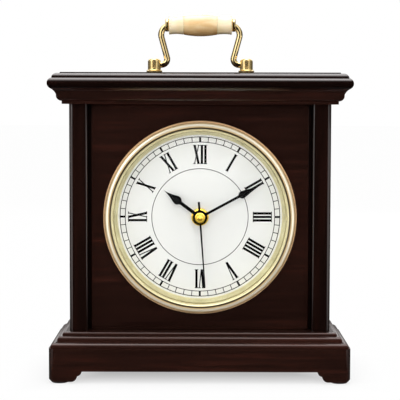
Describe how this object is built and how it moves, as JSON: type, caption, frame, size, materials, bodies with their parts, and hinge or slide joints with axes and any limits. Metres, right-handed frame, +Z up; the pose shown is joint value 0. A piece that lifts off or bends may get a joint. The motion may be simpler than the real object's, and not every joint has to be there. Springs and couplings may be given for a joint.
{
  "type": "table clock",
  "caption": "Bracket-style table clock with a stepped plinth, moulded cornice, round brass bezel, Roman dial, folding bail handle and hinged back door.",
  "frame": {"origin": "middle of the overall box, at the underside of the foot pads", "axes": "+Z up, the dial faces -Y, +X to the right of someone facing the dial"},
  "size_m": [0.198, 0.086, 0.2431],
  "materials": {
    "case_wood": "dark mahogany under glossy lacquer",
    "inside_wood": "bare",
    "felt": "felt",
    "brass": "polished",
    "steel": "satin",
    "grip_tan": "polished, marbled",
    "grip_cream": "polished, marbled",
    "gasket_rubber": "matt",
    "clear_glass": "clear, domed",
    "dial_white": "satin white",
    "hand_black": "satin black",
    "black_plastic": "moulded",
    "wheel_plastic": "natural",
    "cell_case": "plain wrap",
    "board_green": "solder mask",
    "coil_copper": "enamelled copper wire"
  },
  "bodies": {
    "case": {"crown_board": "case_wood", "ogee_board": "case_wood", "left_side": "case_wood", "right_side": "case_wood", "front_panel": "case_wood", "step_board": "case_wood", "plinth_front": "case_wood", "plinth_left": "case_wood", "plinth_right": "case_wood", "plinth_back": "case_wood", "foot_pads": "felt", "glue_blocks": "inside_wood", "plinth_blocks": "inside_wood", "case_hinge_leaves": "brass", "hinge_pins": "steel", "case_hinge_screws": "brass", "door_stop": "inside_wood", "catch_magnet": "steel", "left_post": "brass", "right_post": "brass", "post_washers": "steel", "post_nuts": "steel", "bezel": "brass", "bezel_gasket": "gasket_rubber", "glass": "clear_glass", "inner_ring": "brass", "dial": "dial_white", "dial_retainer": "black_plastic", "centre_nut": "brass", "movement_front": "black_plastic", "movement_cover": "black_plastic", "cell": "cell_case", "cell_contacts": "steel", "circuit_board": "board_green", "quartz_crystal": "steel", "coil": "coil_copper", "stator": "steel"},
    "second": {"second_wheel": "wheel_plastic", "second_arbor": "steel", "second_hand": "hand_black", "hand_cap": "brass"},
    "minute": {"centre_wheel": "wheel_plastic", "minute_hand": "hand_black"},
    "hour": {"hour_wheel": "wheel_plastic", "hour_hand": "hand_black"},
    "intermediate": {"intermediate_wheel": "wheel_plastic", "setting_knob": "black_plastic"},
    "third": {"third_wheel": "wheel_plastic"},
    "fifth": {"fifth_wheel": "wheel_plastic"},
    "rotor": {"rotor_magnet": "steel", "rotor_pinion": "wheel_plastic"},
    "door": {"back_door": "case_wood", "door_hinge_leaves": "brass", "door_hinge_screws": "brass", "catch_plate": "steel"},
    "handle": {"left_arm": "brass", "right_arm": "brass", "grip_stud": "steel", "grip_barrel": "grip_tan", "grip_ends": "grip_cream"}
  },
  "joints": [
    {"name": "second_spin", "type": "hinge", "parent": "case", "child": "second", "pos_m": [0, 0, 0.1076], "axis": [0, 1, 0], "continuous": true},
    {"name": "minute_spin", "type": "hinge", "parent": "case", "child": "minute", "pos_m": [0, 0, 0.1076], "axis": [0, 1, 0], "continuous": true},
    {"name": "hour_spin", "type": "hinge", "parent": "case", "child": "hour", "pos_m": [0, 0, 0.1076], "axis": [0, 1, 0], "continuous": true},
    {"name": "intermediate_spin", "type": "hinge", "parent": "case", "child": "intermediate", "pos_m": [-0.01316, 0, 0.10281], "axis": [0, 1, 0], "continuous": true},
    {"name": "third_spin", "type": "hinge", "parent": "case", "child": "third", "pos_m": [0.01329, 0, 0.10994], "axis": [0, 1, 0], "continuous": true},
    {"name": "fifth_spin", "type": "hinge", "parent": "case", "child": "fifth", "pos_m": [-0.00855, 0, 0.11779], "axis": [0, 1, 0], "continuous": true},
    {"name": "rotor_spin", "type": "hinge", "parent": "case", "child": "rotor", "pos_m": [-0.01531, 0, 0.11533], "axis": [0, 1, 0], "continuous": true},
    {"name": "door_swing", "type": "hinge", "parent": "case", "child": "door", "pos_m": [-0.0736, 0.0415, 0.1076], "axis": [0, 0, 1], "range_deg": [0, 170]},
    {"name": "handle_fold", "type": "hinge", "parent": "case", "child": "handle", "pos_m": [0, 0, 0.209], "axis": [1, 0, 0], "range_deg": [-85, 85]}
  ],
  "couplings": [
    {"joint": "minute_spin", "follows": "second_spin", "ratio": 0.016667},
    {"joint": "hour_spin", "follows": "second_spin", "ratio": 0.0013889},
    {"joint": "intermediate_spin", "follows": "second_spin", "ratio": -0.0055556},
    {"joint": "third_spin", "follows": "second_spin", "ratio": -0.125},
    {"joint": "fifth_spin", "follows": "second_spin", "ratio": -6},
    {"joint": "rotor_spin", "follows": "second_spin", "ratio": 30}
  ]
}
